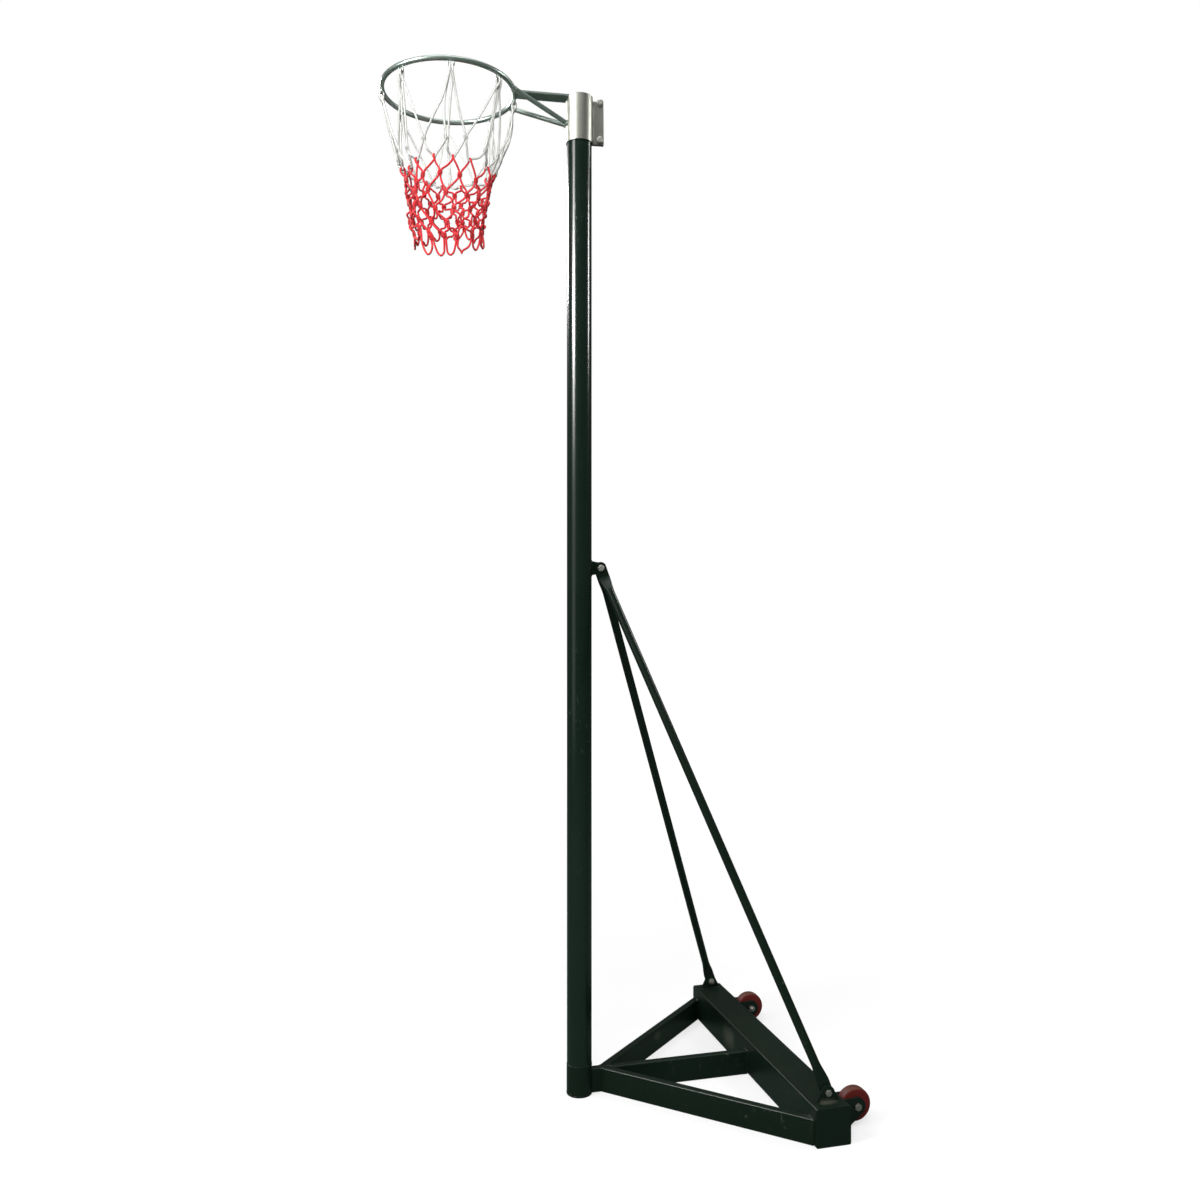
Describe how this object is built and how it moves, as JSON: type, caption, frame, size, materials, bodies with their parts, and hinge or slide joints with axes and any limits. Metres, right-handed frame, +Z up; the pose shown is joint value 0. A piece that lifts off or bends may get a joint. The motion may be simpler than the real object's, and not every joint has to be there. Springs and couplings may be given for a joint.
{
  "type": "portable netball post",
  "caption": "Free-standing round post on a wheeled triangular base, braced by stays, with a clamped ring and a hanging net at the top.",
  "frame": {"origin": "on the floor, at the post's axis: the centre of the foot plate's underside", "axes": "+Z up along the post, +X from the post towards the cross bar and the wheels, so the ring is on the -X side"},
  "size_m": [1.3734, 0.98, 3.0573],
  "materials": {
    "frame_paint": "gloss",
    "post_paint": "gloss",
    "galvanised": "galvanised",
    "satin_zinc": "satin",
    "bolt_zinc": "zinc plated",
    "red_rubber": "matte",
    "dark_plastic": "matte",
    "bronze": "sintered",
    "ballast": "as rolled",
    "white_cord": "braided",
    "red_cord": "braided"
  },
  "bodies": {
    "post_and_base": {"foot_plate": "frame_paint", "base_socket": "frame_paint", "post_spigot": "frame_paint", "socket_link": "frame_paint", "leg_near": "frame_paint", "leg_far": "frame_paint", "middle_bar": "frame_paint", "cross_bar": "frame_paint", "bar_cap_near": "frame_paint", "bar_cap_far": "frame_paint", "ballast_slab": "ballast", "stay_lug_near": "frame_paint", "stay_lug_far": "frame_paint", "wheel_cheek_near_outer": "frame_paint", "wheel_cheek_near_inner": "frame_paint", "wheel_cheek_far_outer": "frame_paint", "wheel_cheek_far_inner": "frame_paint", "post_bracket": "frame_paint", "stay_near": "frame_paint", "stay_far": "frame_paint", "stay_top_bolt": "bolt_zinc", "stay_top_nut": "bolt_zinc", "stay_top_washer_near": "bolt_zinc", "stay_top_washer_far": "bolt_zinc", "stay_foot_bolt_near": "bolt_zinc", "stay_foot_bolt_far": "bolt_zinc", "stay_foot_washer_near": "bolt_zinc", "stay_foot_washer_far": "bolt_zinc", "stay_foot_nut_near": "bolt_zinc", "stay_foot_nut_far": "bolt_zinc", "axle_bolt_near": "bolt_zinc", "axle_bolt_far": "bolt_zinc", "axle_nut_near": "bolt_zinc", "axle_nut_far": "bolt_zinc", "wheel_spacer_near_outer": "bolt_zinc", "wheel_spacer_near_inner": "bolt_zinc", "wheel_spacer_far_outer": "bolt_zinc", "wheel_spacer_far_inner": "bolt_zinc", "post_tube": "post_paint", "post_cap": "dark_plastic"},
    "wheel_near": {"tyre_near": "red_rubber", "wheel_hub_near": "dark_plastic", "wheel_bush_near": "bronze"},
    "wheel_far": {"tyre_far": "red_rubber", "wheel_hub_far": "dark_plastic", "wheel_bush_far": "bronze"},
    "head": {"clamp_sleeve": "satin_zinc", "clamp_ear_near": "satin_zinc", "clamp_ear_far": "satin_zinc", "clamp_bolt_upper": "bolt_zinc", "clamp_bolt_lower": "bolt_zinc", "clamp_nut_upper": "bolt_zinc", "clamp_nut_lower": "bolt_zinc", "ring_arm": "galvanised", "brace_near": "galvanised", "brace_far": "galvanised", "ring": "galvanised", "net_white": "white_cord", "net_red": "red_cord"}
  },
  "joints": [
    {"name": "wheel_near_turn", "type": "hinge", "parent": "post_and_base", "child": "wheel_near", "pos_m": [0.723, -0.381, 0.058], "axis": [0, 1, 0], "continuous": true},
    {"name": "wheel_far_turn", "type": "hinge", "parent": "post_and_base", "child": "wheel_far", "pos_m": [0.723, 0.381, 0.058], "axis": [0, 1, 0], "continuous": true},
    {"name": "ring_height", "type": "slide", "parent": "post_and_base", "child": "head", "axis": [0, 0, 1], "range_m": [-0.61, 0]}
  ]
}
